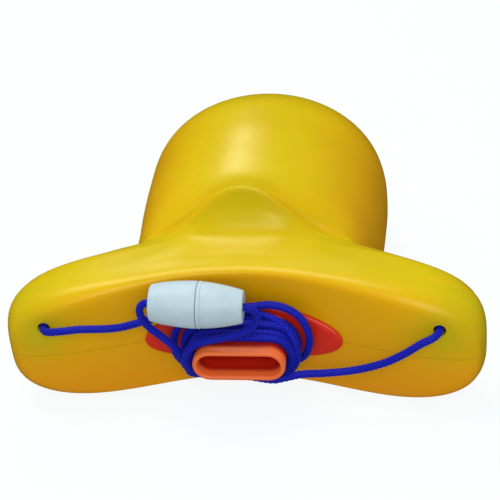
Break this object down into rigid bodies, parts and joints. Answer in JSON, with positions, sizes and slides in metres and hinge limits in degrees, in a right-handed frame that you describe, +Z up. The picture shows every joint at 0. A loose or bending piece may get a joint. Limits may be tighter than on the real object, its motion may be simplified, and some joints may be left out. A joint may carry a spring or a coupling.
{
  "type": "duck bill whistle",
  "caption": "Moulded duck-bill whistle with a flat bite mouthpiece, a reed inside, and a wound neck cord with a pull-apart toggle.",
  "frame": {"origin": "on the surface it rests on, under the middle of the bill's box (cord and toggle left out)", "axes": "+Z up, +Y towards the bill's tip, +X to the right as seen from the mouthpiece side"},
  "size_m": [0.1226, 0.107, 0.0512],
  "materials": {
    "bill": "smooth moulded, satin gloss, slightly translucent",
    "mouthpiece": "smooth moulded, satin",
    "holder": "moulded",
    "reed": "clear film",
    "wedge": "cork",
    "toggle": "moulded, fine satin",
    "cord": "braided nylon"
  },
  "bodies": {
    "root": {"upper_bill": "bill", "lower_bill": "bill", "mouthpiece": "mouthpiece", "mouthpiece_clip": "holder", "reed_sleeve": "holder", "tone_board": "holder", "reed_root": "reed", "reed_wedge": "wedge", "toggle_socket": "toggle", "toggle_socket_knot": "cord", "cord_left_span": "cord", "cord_right_span": "cord", "cord_socket_loop": "cord", "cord_plug_strand": "cord", "cord_loose_turn": "cord", "cord_winding": "cord", "cord_knot_left": "cord", "cord_knot_right": "cord"},
    "plug_half": {"toggle_plug": "toggle", "toggle_plug_knot": "cord", "cord_plug_tail": "cord"},
    "reed": {"reed_tongue": "reed"}
  },
  "joints": [
    {"name": "toggle_pull", "type": "slide", "parent": "root", "child": "plug_half", "axis": [0.9986, 0, -0.0523], "range_m": [0, 0.008]},
    {"name": "reed_flex", "type": "hinge", "parent": "root", "child": "reed", "pos_m": [0, -0.0323, 0.01792], "axis": [-1, 0, 0], "range_deg": [-1.5, 6], "stiffness_Nm_per_rad": 0.001}
  ]
}
